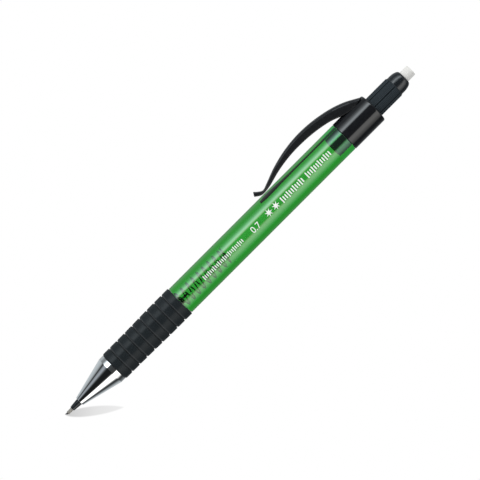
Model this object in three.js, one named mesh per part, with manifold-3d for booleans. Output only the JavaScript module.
// An automatic 0.7 mm lead holder with a twist-out eraser, in millimetres, +Z up.
// It stands on its writing point: the origin is the centre of the lead's worn facet, the axis is Z,
// the eraser is at the top and the pocket clip is on the -X side.
//
// Every piece of the real holder is one named mesh. Neighbours keep a running or seating gap.

import * as THREE from "three";
import { mergeVertices } from "three/addons/utils/BufferGeometryUtils.js";
import Module from "manifold-3d";

const wasm = await Module();
wasm.setup();

// ---------------------------------------------------------------- driving dimensions (mm)

const GAP = 0.1; // seating gap between neighbouring pieces
const PUSH_TRAVEL = 3.6; // how far the eraser knob pushes in

const LEAD = { radius: 0.35, top: 51.7 };
const PIPE = { outer: 0.54, inner: 0.42, front: 0.6, back: 9.2 };
const SLIDER = {
  front: 2.4, // front of the black nose
  coneEnd: 5.2, // where its taper reaches full radius
  back: 12.3,
  frontRadius: 0.76,
  radius: 1.1,
  flangeRadius: 1.65,
  flangeHeight: 2.5,
  cupRadius: 1.15,
  cupFloor: 10.8, // floor of the cup that holds the lead brake
};
const BRAKE = { outer: 1.05, inner: 0.43, height: 1.2 };
const CONE = {
  mouth: 5.6,
  mouthRadius: 1.5,
  shoulder: 18.4, // where the taper ends and the straight band starts
  shoulderRadius: 4.72,
  back: 20.5,
  backRadius: 4.82,
  bore: 1.2,
  sliderSeat: 9.6, // shoulder that stops the slider's flange
  springBore: 1.8,
  shankTop: 28.0,
  shankRadius: 3.45,
  shankBore: 2.75,
};
const HOUSING = {
  front: 16.7,
  lipHeight: 0.6, // seat of the slider spring
  lipBore: 0.9,
  noseBore: 1.85,
  ringStop: 20.9, // shoulder that stops the clutch ring
  ringBore: 2.2,
  ringChamberTop: 26.7,
  tubeBore: 1.87,
  frontRadius: 2.65,
  radius: 3.35,
  top: 47.6,
};
const CHUCK = {
  front: 21.3,
  headRadius: 1.6,
  headLength: 3.6,
  shankRadius: 1.15,
  tail: 33.0, // start of the tail that is pressed into the lead tube
  tailRadius: 1.36,
  top: 38.0,
  slitWidth: 0.3,
  slitTop: 31.0,
  jaws: 3,
};
const CONNECTOR = { bottom: 38.1, top: 49.7, outer: 1.36, inner: 0.6 };
const BALL = { radius: 0.4, orbit: 1.35, height: 22.9, pocket: 0.46 };
const RING = { bottom: 22.3, top: 24.5, outer: 2.1, frontBore: 1.95, backBore: 1.6 };
const LEAD_TUBE = {
  bottom: 32.5,
  top: 116.2,
  outer: 1.75,
  inner: 1.45,
  flangeBottom: 68.65,
  flangeTop: 69.6,
  flangeRadius: 3.35,
};
const BARREL = {
  bottom: 20.8,
  shoulder: 48.75, // the grip sleeve ends here
  top: 118.85,
  outer: 4.96,
  gripSeat: 4.25,
  bore: 3.55,
};
const GRIP = {
  bottom: 20.6,
  top: 48.6,
  bore: 4.35,
  frontRadius: 5.06,
  backRadius: 5.27,
  swellStart: 27,
  swellEnd: 42,
  grooves: 8,
  firstGroove: 23.35,
  groovePitch: 3.19,
  grooveWidth: 0.5,
  grooveDepth: 0.45,
};
const CLIP = {
  rootHalfWidth: 3.0,
  tipHalfWidth: 2.6,
  crownShare: 0.36, // share of the thickness taken by the crowned outer face
  footShare: 0.92, // width of the inner face against the arm's own width
  split: 0.135, // share of the spine at which the springy arm leaves the cap
  splitGap: 0.012,
};
const KNOB = {
  bottom: 123.3,
  ribBottom: 126.5,
  ribTop: 140.6,
  top: 144.5,
  radius: 3.5,
  valleyRadius: 3.36,
  grooveRadius: 3.18,
  noseRadius: 3.24,
  domeWidth: 1.2,
  domeHeight: 3.0,
  bore: 2.42,
  mouthBore: 1.98,
  mouthFloor: 142.4,
  keywayRadius: 2.85,
  keywayWidth: 1.0,
  keywayTop: 140.9,
  beadGroove: { bottom: 124.1, top: 125.1, radius: 2.66 },
  panels: 8,
  ribsPerPanel: 5,
  ribPitch: THREE.MathUtils.degToRad(7.8),
  grooveAngle: THREE.MathUtils.degToRad(-87), // one wide groove faces the front, just right of centre
};
const CAP = {
  bottom: 118.95,
  top: 131.5,
  radius: 5.06,
  cornerRadius: 0.7,
  bore: 3.65,
  spigotBottom: 113.9,
  spigotRadius: 3.4,
  spigotBore: 2.8,
  boreFloor: KNOB.bottom - PUSH_TRAVEL - 2 * GAP, // step that stops the knob
};
const SLEEVE = {
  plugBottom: 114.3,
  plugRadius: 1.36,
  flangeBottom: 116.4,
  flangeTop: 117.8,
  flangeRadius: 2.6,
  outer: 2.3,
  inner: 2.02,
  top: 142.2,
  bead: { bottom: 124.3, top: 124.9, radius: 2.54 },
};
const CARRIER = {
  bottom: 125.9,
  floor: 126.9,
  top: 129.9,
  outer: 1.91,
  cupRadius: 1.5,
  pinHeight: 127.1,
  pinRadius: 0.4,
  pinReach: 2.7,
  pinRoot: 1.7,
};
const ERASER = { tailRadius: 1.4, shoulder: 130.0, radius: 1.86, top: 147.6, edge: 0.18 };
const ERASER_TRAVEL = { down: 3, up: 12, lead: 6 }; // lead: travel for one turn of the knob
const SLOT = { halfWidth: 0.6, overrun: 0.2, steps: 26, innerRadius: 1.8, outerRadius: 2.8 };

const RETURN_SPRING = {
  bottom: HOUSING.top,
  top: LEAD_TUBE.flangeBottom,
  radius: 2.7,
  wire: 0.25,
  activeTurns: 8.5,
  endPitch: 0.62,
  startAngle: Math.PI / 2,
};
const SLIDER_SPRING = {
  bottom: SLIDER.back,
  top: HOUSING.front,
  radius: 1.4,
  wire: 0.15,
  activeTurns: 4,
  endPitch: 0.4,
  startAngle: 0,
};

// ---------------------------------------------------------------- materials

const plastic = (color, roughness) => new THREE.MeshStandardMaterial({ color, roughness, metalness: 0 });
const metal = (color, roughness) => new THREE.MeshStandardMaterial({ color, roughness, metalness: 1 });

const MATERIALS = {
  clearGreen: new THREE.MeshStandardMaterial({
    color: 0x2a9a3c,
    roughness: 0.08,
    transparent: true,
    opacity: 0.55,
  }),
  clearTube: new THREE.MeshStandardMaterial({
    color: 0xdfeee2,
    roughness: 0.2,
    transparent: true,
    opacity: 0.35,
  }),
  glossBlack: plastic(0x14161b, 0.18),
  satinBlack: plastic(0x23292e, 0.42),
  gripRubber: plastic(0x24282c, 0.8),
  brakeRubber: plastic(0x3a3a3c, 0.7),
  greyPlastic: plastic(0x2c3033, 0.5),
  eraserWhite: plastic(0xeeeeea, 0.75),
  graphite: plastic(0x3c3d40, 0.5),
  chrome: metal(0xd9dde0, 0.08),
  steel: metal(0xb0aca6, 0.3),
  springSteel: metal(0x9a9c9e, 0.3),
  brass: metal(0xc9a552, 0.3),
};

// ---------------------------------------------------------------- geometry helpers

// A body of revolution about Z. The outline's [radius, height] points run anticlockwise; it either
// starts and ends on the axis or is closed here on itself.
function turned(outline, segments = 32) {
  const points = outline.map(([radius, height]) => new THREE.Vector2(radius, height));
  if (points[0].x > 0) points.push(points[0].clone());
  return new THREE.LatheGeometry(points, segments).rotateX(Math.PI / 2);
}

const tubeOutline = (inner, outer, bottom, top) => [
  [inner, bottom],
  [outer, bottom],
  [outer, top],
  [inner, top],
];

// Points of a quarter-ellipse corner, from its outermost point up to its highest.
function corner(centreRadius, centreHeight, width, height, steps = 5) {
  return Array.from({ length: steps + 1 }, (_, i) => {
    const angle = (Math.PI / 2) * (i / steps);
    return [centreRadius + width * Math.cos(angle), centreHeight + height * Math.sin(angle)];
  });
}

function toSolid(geometry) {
  const bare = geometry.clone();
  bare.deleteAttribute("normal");
  bare.deleteAttribute("uv");
  const merged = mergeVertices(bare, 1e-4);
  return new wasm.Manifold(
    new wasm.Mesh({
      numProp: 3,
      vertProperties: merged.attributes.position.array,
      triVerts: new Uint32Array(merged.index.array),
    }),
  );
}

function toGeometry(solid) {
  const mesh = solid.getMesh();
  const geometry = new THREE.BufferGeometry();
  geometry.setAttribute("position", new THREE.BufferAttribute(mesh.vertProperties, 3));
  geometry.setIndex(new THREE.BufferAttribute(mesh.triVerts, 1));
  geometry.computeVertexNormals();
  return geometry;
}

const cut = (base, ...tools) => toGeometry(tools.reduce((s, tool) => s.subtract(toSolid(tool)), toSolid(base)));
const join = (base, ...more) => toGeometry(more.reduce((s, piece) => s.add(toSolid(piece)), toSolid(base)));

// A helix about Z. heightAt gives the height for a number of turns from the start.
class Helix extends THREE.Curve {
  constructor(radius, turns, heightAt, startAngle) {
    super();
    Object.assign(this, { radius, turns, heightAt, startAngle });
  }
  getPoint(t, target = new THREE.Vector3()) {
    const turns = this.turns * t;
    const angle = this.startAngle + 2 * Math.PI * turns;
    return target.set(this.radius * Math.cos(angle), this.radius * Math.sin(angle), this.heightAt(turns));
  }
}

function roundBarAlong(curve, radius, steps) {
  const section = new THREE.Shape().absarc(0, 0, radius, 0, 2 * Math.PI, false);
  return new THREE.ExtrudeGeometry(section, { extrudePath: curve, steps, curveSegments: 3 });
}

// A compression spring with one closed coil at each end, between two seats.
function spring({ bottom, top, radius, wire, activeTurns, endPitch, startAngle }) {
  const start = bottom + wire + GAP / 2;
  const end = top - wire - GAP / 2;
  const pitch = (end - start - 2 * endPitch) / activeTurns;
  const turns = activeTurns + 2;
  const heightAt = (n) => {
    if (n < 1) return start + endPitch * n;
    if (n > turns - 1) return end - endPitch * (turns - n);
    return start + endPitch + pitch * (n - 1);
  };
  return roundBarAlong(new Helix(radius, turns, heightAt, startAngle), wire, Math.round(turns * 12));
}

// A lofted body through closed rings of equal length, each ring anticlockwise seen from the next.
function loft(rings) {
  const size = rings[0].length;
  const positions = rings.flat().flatMap((p) => [p.x, p.y, p.z]);
  const index = [];
  for (let r = 0; r + 1 < rings.length; r++) {
    for (let k = 0; k < size; k++) {
      const a = r * size + k;
      const b = r * size + ((k + 1) % size);
      index.push(a, b, a + size, b, b + size, a + size);
    }
  }
  const last = (rings.length - 1) * size;
  for (let k = 1; k + 1 < size; k++) {
    index.push(0, k + 1, k);
    index.push(last, last + k, last + k + 1);
  }
  const geometry = new THREE.BufferGeometry();
  geometry.setAttribute("position", new THREE.Float32BufferAttribute(positions, 3));
  geometry.setIndex(index);
  geometry.computeVertexNormals();
  return geometry;
}

// ---------------------------------------------------------------- writing end

// The lead is worn to a facet at 45 degrees, which faces down and to +X.
function writingLead() {
  const blank = turned(
    [
      [0, -2 * LEAD.radius],
      [LEAD.radius, -2 * LEAD.radius],
      [LEAD.radius, LEAD.top],
      [0, LEAD.top],
    ],
    16,
  );
  const size = 4;
  const facet = new THREE.BoxGeometry(size, size, size).translate(0, 0, -size / 2).rotateY(-Math.PI / 4);
  return cut(blank, facet);
}

const leadPipe = () => turned(tubeOutline(PIPE.inner, PIPE.outer, PIPE.front, PIPE.back), 16);

function tipSlider() {
  const { front, coneEnd, back, frontRadius, radius, flangeRadius, flangeHeight, cupRadius, cupFloor } = SLIDER;
  const pipeBore = PIPE.outer + 0.07;
  const leadBore = LEAD.radius + 0.1;
  return turned(
    [
      [pipeBore, front],
      [frontRadius - 0.04, front],
      [frontRadius + 0.04, front + 0.2],
      [radius - 0.02, coneEnd],
      [radius, coneEnd + 0.3],
      [radius, back - flangeHeight],
      [flangeRadius, back - flangeHeight],
      [flangeRadius, back],
      [cupRadius, back],
      [cupRadius, cupFloor],
      [leadBore, cupFloor],
      [leadBore, PIPE.back + GAP],
      [pipeBore, PIPE.back + GAP],
    ],
    24,
  );
}

function leadBrake() {
  const bottom = SLIDER.cupFloor + GAP;
  return turned(tubeOutline(BRAKE.inner, BRAKE.outer, bottom, bottom + BRAKE.height), 16);
}

function tipCone() {
  const c = CONE;
  return turned([
    [c.bore, c.mouth],
    [c.mouthRadius - 0.1, c.mouth],
    [c.mouthRadius, c.mouth + 0.1],
    [c.shoulderRadius, c.shoulder],
    [c.backRadius, c.shoulder + 0.3],
    [c.backRadius, c.back],
    [c.shankRadius, c.back],
    [c.shankRadius, c.shankTop],
    [c.shankBore, c.shankTop],
    [c.shankBore, HOUSING.front - GAP],
    [c.springBore, HOUSING.front - GAP],
    [c.springBore, c.sliderSeat],
    [c.bore, c.sliderSeat],
  ]);
}

// ---------------------------------------------------------------- clutch

function chuckHousing() {
  const h = HOUSING;
  const step = CONE.shankTop + 2 * GAP;
  return turned(
    [
      [h.lipBore, h.front],
      [h.frontRadius, h.front],
      [h.frontRadius, step],
      [h.radius, step],
      [h.radius, h.top - 0.3],
      [h.radius - 0.3, h.top],
      [h.tubeBore, h.top],
      [h.tubeBore, h.ringChamberTop],
      [h.ringBore, h.ringChamberTop],
      [h.ringBore, h.ringStop],
      [h.noseBore, h.ringStop],
      [h.noseBore, h.front + h.lipHeight],
      [h.lipBore, h.front + h.lipHeight],
    ],
    28,
  );
}

// The jaws' pockets hold one ball each, on the middle of every jaw.
function ballPositions() {
  return Array.from({ length: CHUCK.jaws }, (_, i) => {
    const angle = ((i + 0.5) * 2 * Math.PI) / CHUCK.jaws;
    return new THREE.Vector3(BALL.orbit * Math.cos(angle), BALL.orbit * Math.sin(angle), BALL.height);
  });
}

// A one-piece collet: three jaws on springy fingers, with a tail that is pressed into the lead tube.
function chuck() {
  const c = CHUCK;
  const jawBore = LEAD.radius + 0.07;
  const shankBore = 0.6;
  const body = turned(
    [
      [jawBore, c.front],
      [c.headRadius - 0.15, c.front],
      [c.headRadius, c.front + 0.5],
      [c.headRadius - 0.05, BALL.height],
      [c.shankRadius, c.front + c.headLength],
      [c.shankRadius, c.tail],
      [c.tailRadius, c.tail],
      [c.tailRadius, c.top],
      [shankBore, c.top],
      [shankBore, c.front + c.headLength],
      [jawBore, c.front + c.headLength - 0.3],
    ],
    24,
  );
  const slitHeight = c.slitTop - c.front + 1;
  const slits = Array.from({ length: c.jaws }, (_, i) =>
    new THREE.BoxGeometry(c.headRadius + 1, c.slitWidth, slitHeight)
      .translate((c.headRadius + 1) / 2, 0, c.slitTop - slitHeight / 2)
      .rotateZ((i * 2 * Math.PI) / c.jaws),
  );
  const pockets = ballPositions().map((p) => new THREE.IcosahedronGeometry(BALL.pocket, 1).translate(p.x, p.y, p.z));
  return cut(body, ...slits, ...pockets);
}

const chuckConnector = () =>
  turned(tubeOutline(CONNECTOR.inner, CONNECTOR.outer, CONNECTOR.bottom, CONNECTOR.top), 24);

function clutchRing() {
  const { bottom, top, outer, frontBore, backBore } = RING;
  return turned(
    [
      [frontBore, bottom],
      [outer, bottom],
      [outer, top],
      [backBore, top],
    ],
    24,
  );
}

// ---------------------------------------------------------------- barrel and lead tube

function barrel() {
  const b = BARREL;
  const edge = 0.15;
  return turned([
    [b.bore, b.bottom],
    [b.gripSeat, b.bottom],
    [b.gripSeat, b.shoulder],
    [b.outer - edge, b.shoulder],
    [b.outer, b.shoulder + edge],
    [b.outer, b.top - edge],
    [b.outer - edge, b.top],
    [b.bore, b.top],
  ]);
}

// The grip swells gently towards the back.
function gripRadiusAt(height) {
  const share = THREE.MathUtils.smoothstep(height, GRIP.swellStart, GRIP.swellEnd);
  return THREE.MathUtils.lerp(GRIP.frontRadius, GRIP.backRadius, share);
}

function gripSleeve() {
  const g = GRIP;
  const round = 0.35;
  const rounded = (height, side) => [
    [gripRadiusAt(height) - (side < 0 ? round : 0), height],
    [gripRadiusAt(height) - (side < 0 ? 0 : round), height + round * 0.8],
  ];
  const outline = [[g.bore, g.bottom], ...rounded(g.bottom, -1)];
  for (let i = 0; i < g.grooves; i++) {
    const middle = g.firstGroove + i * g.groovePitch;
    const floor = gripRadiusAt(middle) - g.grooveDepth;
    outline.push(
      [gripRadiusAt(middle), middle - g.grooveWidth],
      [floor, middle],
      [gripRadiusAt(middle), middle + g.grooveWidth],
    );
  }
  outline.push(...rounded(g.top - round * 0.8, 1), [g.bore, g.top]);
  return turned(outline, 28);
}

function leadTube() {
  const t = LEAD_TUBE;
  return turned(
    [
      [t.inner, t.bottom],
      [t.outer, t.bottom],
      [t.outer, t.flangeBottom],
      [t.flangeRadius, t.flangeBottom],
      [t.flangeRadius, t.flangeTop],
      [t.outer, t.flangeTop],
      [t.outer, t.top],
      [t.inner, t.top],
    ],
    24,
  );
}

// ---------------------------------------------------------------- cap and clip

// Outer and inner edge of the clip seen from the side, as [height, distance from the axis], root to tip.
const CLIP_OUTER = new THREE.SplineCurve(
  [
    [130.9, 4.95],
    [126.1, 7.53],
    [121.0, 9.22],
    [115.0, 10.27],
    [109.2, 10.53],
    [103.4, 9.97],
    [97.5, 8.57],
    [92.6, 6.76],
    [90.15, 5.98],
    [88.6, 6.72],
    [87.5, 7.62],
  ].map(([height, distance]) => new THREE.Vector2(height, distance)),
);
const CLIP_INNER = new THREE.SplineCurve(
  [
    [127.2, 4.0],
    [123.6, 4.7],
    [119.3, 6.27],
    [114.0, 7.28],
    [108.4, 7.68],
    [103.2, 7.52],
    [97.9, 6.74],
    [93.0, 5.47],
    [90.3, 5.08],
    [88.7, 5.36],
    [86.95, 6.6],
  ].map(([height, distance]) => new THREE.Vector2(height, distance)),
);

// One cross-section: a crowned outer face over flanks that lean in to a narrower inner face.
function clipRing(share, crownSteps = 6) {
  const outer = CLIP_OUTER.getPoint(share);
  const inner = CLIP_INNER.getPoint(share);
  const halfWidth = THREE.MathUtils.lerp(CLIP.rootHalfWidth, CLIP.tipHalfWidth, share);
  const at = (depth, y) => {
    const p = outer.clone().lerp(inner, depth);
    return new THREE.Vector3(-p.y, y, p.x);
  };
  const ring = [];
  for (let i = 0; i <= crownSteps; i++) {
    const angle = (Math.PI * i) / crownSteps;
    ring.push(at(CLIP.crownShare * (1 - Math.sin(angle)), -halfWidth * Math.cos(angle)));
  }
  ring.push(at(1, halfWidth * CLIP.footShare), at(1, -halfWidth * CLIP.footShare));
  return ring;
}

function clipBody(from, to, steps) {
  const rings = Array.from({ length: steps + 1 }, (_, i) => clipRing(THREE.MathUtils.lerp(from, to, i / steps)));
  return loft(rings);
}

const coreAroundAxis = (radius, bottom, top) =>
  turned(
    [
      [0, bottom],
      [radius, bottom],
      [radius, top],
      [0, top],
    ],
    32,
  );

// The cap's collar carries the clip's root and plugs into the barrel with its spigot.
function clipCap() {
  const c = CAP;
  const edge = 0.12;
  const collar = turned([
    [c.spigotBore, c.spigotBottom],
    [c.spigotRadius, c.spigotBottom],
    [c.spigotRadius, c.bottom],
    [c.radius - edge, c.bottom],
    [c.radius, c.bottom + edge],
    ...corner(c.radius - c.cornerRadius, c.top - c.cornerRadius, c.cornerRadius, c.cornerRadius),
    [c.bore, c.top],
    [c.bore, c.boreFloor],
    [c.spigotBore, c.boreFloor],
  ]);
  const root = clipBody(0, CLIP.split - CLIP.splitGap, 4);
  const bore = coreAroundAxis(c.radius - 0.4, c.bottom, c.top + 1);
  return join(collar, cut(root, bore));
}

function clipArm() {
  const arm = clipBody(CLIP.split, 1, 28);
  return cut(arm, coreAroundAxis(CAP.radius + 0.3, CAP.bottom - 0.5, CAP.top));
}

// ---------------------------------------------------------------- twist-out eraser unit

// The knob's outside: panels of fine ribs with a wide groove between panels.
function ribbedOutline() {
  const k = KNOB;
  const panelAngle = (2 * Math.PI) / k.panels;
  const grooveHalf = (panelAngle - k.ribsPerPanel * k.ribPitch) / 2;
  const shape = new THREE.Shape();
  const add = (radius, angle, first) => {
    const x = radius * Math.cos(angle);
    const y = radius * Math.sin(angle);
    if (first) shape.moveTo(x, y);
    else shape.lineTo(x, y);
  };
  for (let p = 0; p < k.panels; p++) {
    const groove = k.grooveAngle + p * panelAngle;
    add(k.grooveRadius, groove - grooveHalf * 0.6, p === 0);
    add(k.grooveRadius, groove + grooveHalf * 0.6, false);
    for (let rib = 0; rib < k.ribsPerPanel; rib++) {
      const start = groove + grooveHalf + rib * k.ribPitch;
      add(k.radius, start + 0.3 * k.ribPitch, false);
      if (rib + 1 < k.ribsPerPanel) add(k.valleyRadius, start + 0.8 * k.ribPitch, false);
    }
  }
  return shape;
}

function eraserKnob() {
  const k = KNOB;
  const ribs = new THREE.ExtrudeGeometry(ribbedOutline(), { depth: k.ribTop - k.ribBottom, bevelEnabled: false });
  ribs.translate(0, 0, k.ribBottom);
  const core = turned(
    [
      [0, k.bottom],
      [k.radius - 0.2, k.bottom],
      [k.radius, k.bottom + 0.2],
      [k.radius, k.ribBottom + 0.1],
      [k.grooveRadius - 0.05, k.ribBottom + 0.1],
      [k.grooveRadius - 0.05, k.ribTop - 0.1],
      [k.noseRadius, k.ribTop - 0.1],
      ...corner(k.noseRadius - k.domeWidth, k.top - k.domeHeight, k.domeWidth, k.domeHeight),
      [0, k.top],
    ],
    28,
  );
  const bore = turned(
    [
      [0, k.bottom - 1],
      [k.bore, k.bottom - 1],
      [k.bore, k.beadGroove.bottom],
      [k.beadGroove.radius, k.beadGroove.bottom],
      [k.beadGroove.radius, k.beadGroove.top],
      [k.bore, k.beadGroove.top],
      [k.bore, k.mouthFloor],
      [k.mouthBore, k.mouthFloor],
      [k.mouthBore, k.top + 1],
      [0, k.top + 1],
    ],
    24,
  );
  const keywayHeight = k.keywayTop - k.bottom + 1;
  const keyways = new THREE.BoxGeometry(2 * k.keywayRadius, k.keywayWidth, keywayHeight).translate(
    0,
    0,
    k.keywayTop - keywayHeight / 2,
  );
  return cut(join(core, ribs), bore, keyways);
}

// A cutter for one slot of the sleeve. Both slots are left-handed, so that a clockwise twist of the
// knob raises the eraser.
function slotCutter(startAngle) {
  const { down, up, lead } = ERASER_TRAVEL;
  const { halfWidth, overrun, steps, innerRadius, outerRadius } = SLOT;
  const bottom = CARRIER.pinHeight - down;
  const rings = [];
  for (let i = 0; i <= steps; i++) {
    const rise = THREE.MathUtils.lerp(-overrun, down + up + overrun, i / steps);
    const angle = startAngle - (2 * Math.PI * (rise - down)) / lead;
    const at = (radius, dz) =>
      new THREE.Vector3(radius * Math.cos(angle), radius * Math.sin(angle), bottom + rise + dz);
    rings.push([
      at(innerRadius, -halfWidth),
      at(outerRadius, -halfWidth),
      at(outerRadius, halfWidth),
      at(innerRadius, halfWidth),
    ]);
  }
  return loft(rings);
}

function spiralSleeve() {
  const s = SLEEVE;
  const body = turned(
    [
      [0, s.plugBottom],
      [s.plugRadius - 0.15, s.plugBottom],
      [s.plugRadius, s.plugBottom + 0.2],
      [s.plugRadius, s.flangeBottom],
      [s.flangeRadius, s.flangeBottom],
      [s.flangeRadius, s.flangeTop],
      [s.outer, s.flangeTop],
      [s.outer, s.bead.bottom],
      [s.bead.radius, s.bead.bottom],
      [s.bead.radius, s.bead.top],
      [s.outer, s.bead.top],
      [s.outer, s.top],
      [s.inner, s.top],
      [s.inner, s.flangeTop],
      [0, s.flangeTop],
    ],
    16,
  );
  return cut(body, slotCutter(0), slotCutter(Math.PI));
}

function eraserCarrier() {
  const c = CARRIER;
  const cup = turned(
    [
      [0, c.bottom],
      [c.outer, c.bottom],
      [c.outer, c.top],
      [c.cupRadius, c.top],
      [c.cupRadius, c.floor],
      [0, c.floor],
    ],
    24,
  );
  const pins = [1, -1].map((side) =>
    new THREE.CylinderGeometry(c.pinRadius, c.pinRadius, c.pinReach - c.pinRoot, 12)
      .rotateZ(Math.PI / 2)
      .translate((side * (c.pinReach + c.pinRoot)) / 2, 0, c.pinHeight),
  );
  return join(cup, ...pins);
}

function eraser() {
  const e = ERASER;
  return turned(
    [
      [0, CARRIER.floor + GAP],
      [e.tailRadius, CARRIER.floor + GAP],
      [e.tailRadius, e.shoulder],
      [e.radius, e.shoulder],
      [e.radius, e.top - e.edge],
      [e.radius - e.edge, e.top],
      [0, e.top],
    ],
    24,
  );
}

// ---------------------------------------------------------------- assembly

function named(name, geometry, material) {
  const mesh = new THREE.Mesh(geometry, material);
  mesh.name = name;
  return mesh;
}

const group = (...children) => new THREE.Group().add(...children);

const clutchBalls = ballPositions().map((position, i) => {
  const ball = named(`clutch_ball_${i + 1}`, new THREE.IcosahedronGeometry(BALL.radius, 1), MATERIALS.steel);
  ball.position.copy(position);
  return ball;
});

const slidingNose = group(
  named("tip_slider", tipSlider(), MATERIALS.satinBlack),
  named("lead_pipe", leadPipe(), MATERIALS.steel),
  named("lead_brake", leadBrake(), MATERIALS.brakeRubber),
);

const fixedBody = group(
  named("barrel", barrel(), MATERIALS.clearGreen),
  named("grip_sleeve", gripSleeve(), MATERIALS.gripRubber),
  named("tip_cone", tipCone(), MATERIALS.chrome),
  named("chuck_housing", chuckHousing(), MATERIALS.greyPlastic),
  named("clip_cap", clipCap(), MATERIALS.glossBlack),
  named("slider_spring", spring(SLIDER_SPRING), MATERIALS.springSteel),
  named("return_spring", spring(RETURN_SPRING), MATERIALS.springSteel),
);

const pushUnit = group(
  named("lead_tube", leadTube(), MATERIALS.clearTube),
  named("chuck", chuck(), MATERIALS.brass),
  named("chuck_connector", chuckConnector(), MATERIALS.greyPlastic),
  ...clutchBalls,
);

const eraserUnit = group(
  named("spiral_sleeve", spiralSleeve(), MATERIALS.greyPlastic),
  named("eraser_knob", eraserKnob(), MATERIALS.satinBlack),
  named("eraser_carrier", eraserCarrier(), MATERIALS.greyPlastic),
  named("eraser", eraser(), MATERIALS.eraserWhite),
);

const leadHolder = group(
  fixedBody,
  named("clip_arm", clipArm(), MATERIALS.glossBlack),
  slidingNose,
  named("clutch_ring", clutchRing(), MATERIALS.brass),
  named("writing_lead", writingLead(), MATERIALS.graphite),
  pushUnit,
  eraserUnit,
);

export default leadHolder;
